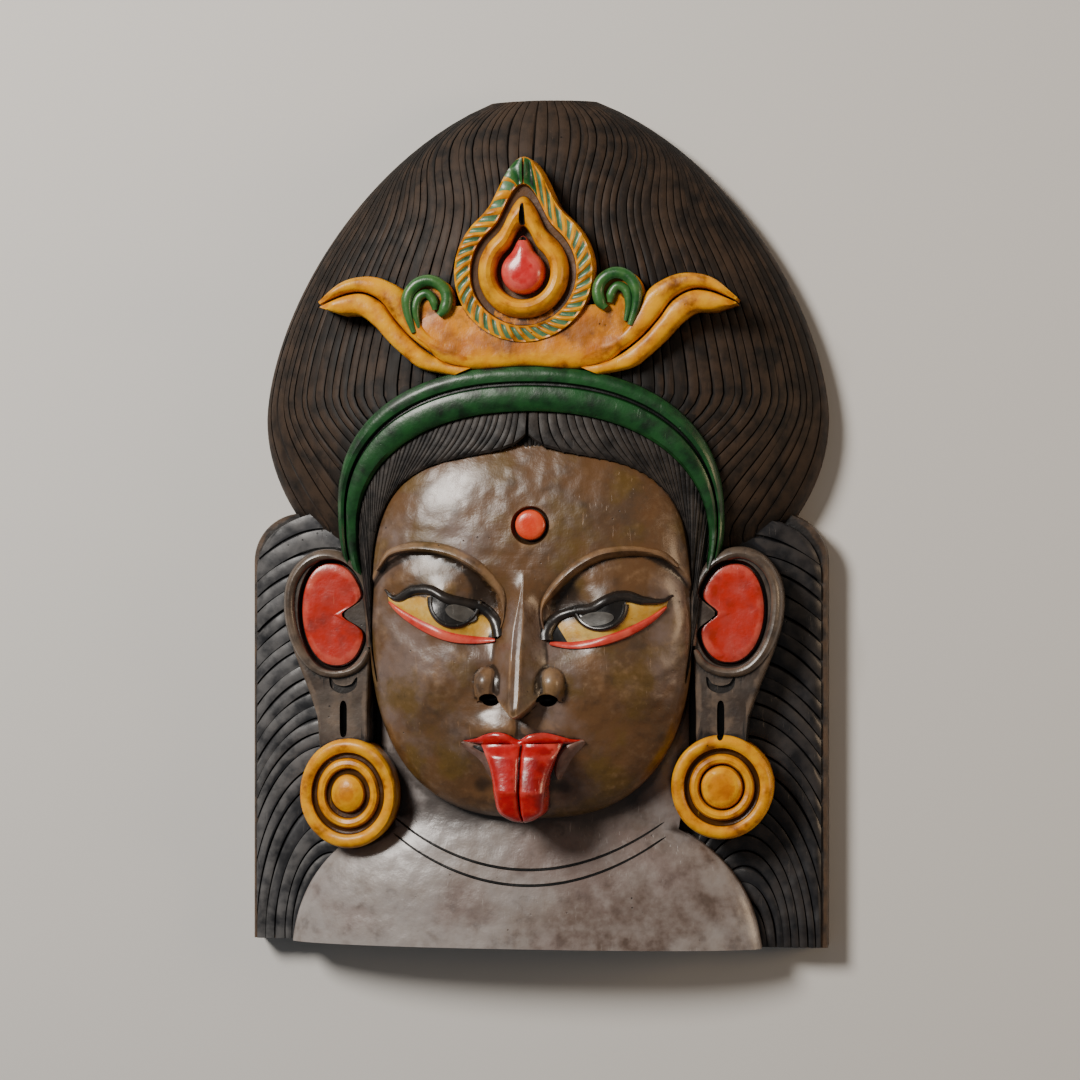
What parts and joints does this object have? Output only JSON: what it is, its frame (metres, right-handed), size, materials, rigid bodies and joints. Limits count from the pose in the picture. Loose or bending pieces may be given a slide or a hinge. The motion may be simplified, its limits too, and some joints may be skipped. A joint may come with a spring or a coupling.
{
  "type": "carved wooden goddess mask",
  "caption": "Carved and painted wooden mask of a goddess: tall combed bun, leafy crown, headband, long ears with disc earrings and tongue out, cut from a single thick block with a flat back.",
  "frame": {"origin": "on the flat back, under the middle of the mask's width and height", "axes": "+Z out of the face (up, as the mask lies on its back), +Y towards the top of the bun, +X to the right of someone who looks at the face"},
  "size_m": [0.42, 0.61, 0.121],
  "materials": {
    "painted_wood": "carved hardwood with dark bronze-brown, black, ochre gold, green and red paint under a worn varnish"
  },
  "bodies": {
    "root": {"kali_mask": "painted_wood"}
  },
  "joints": []
}
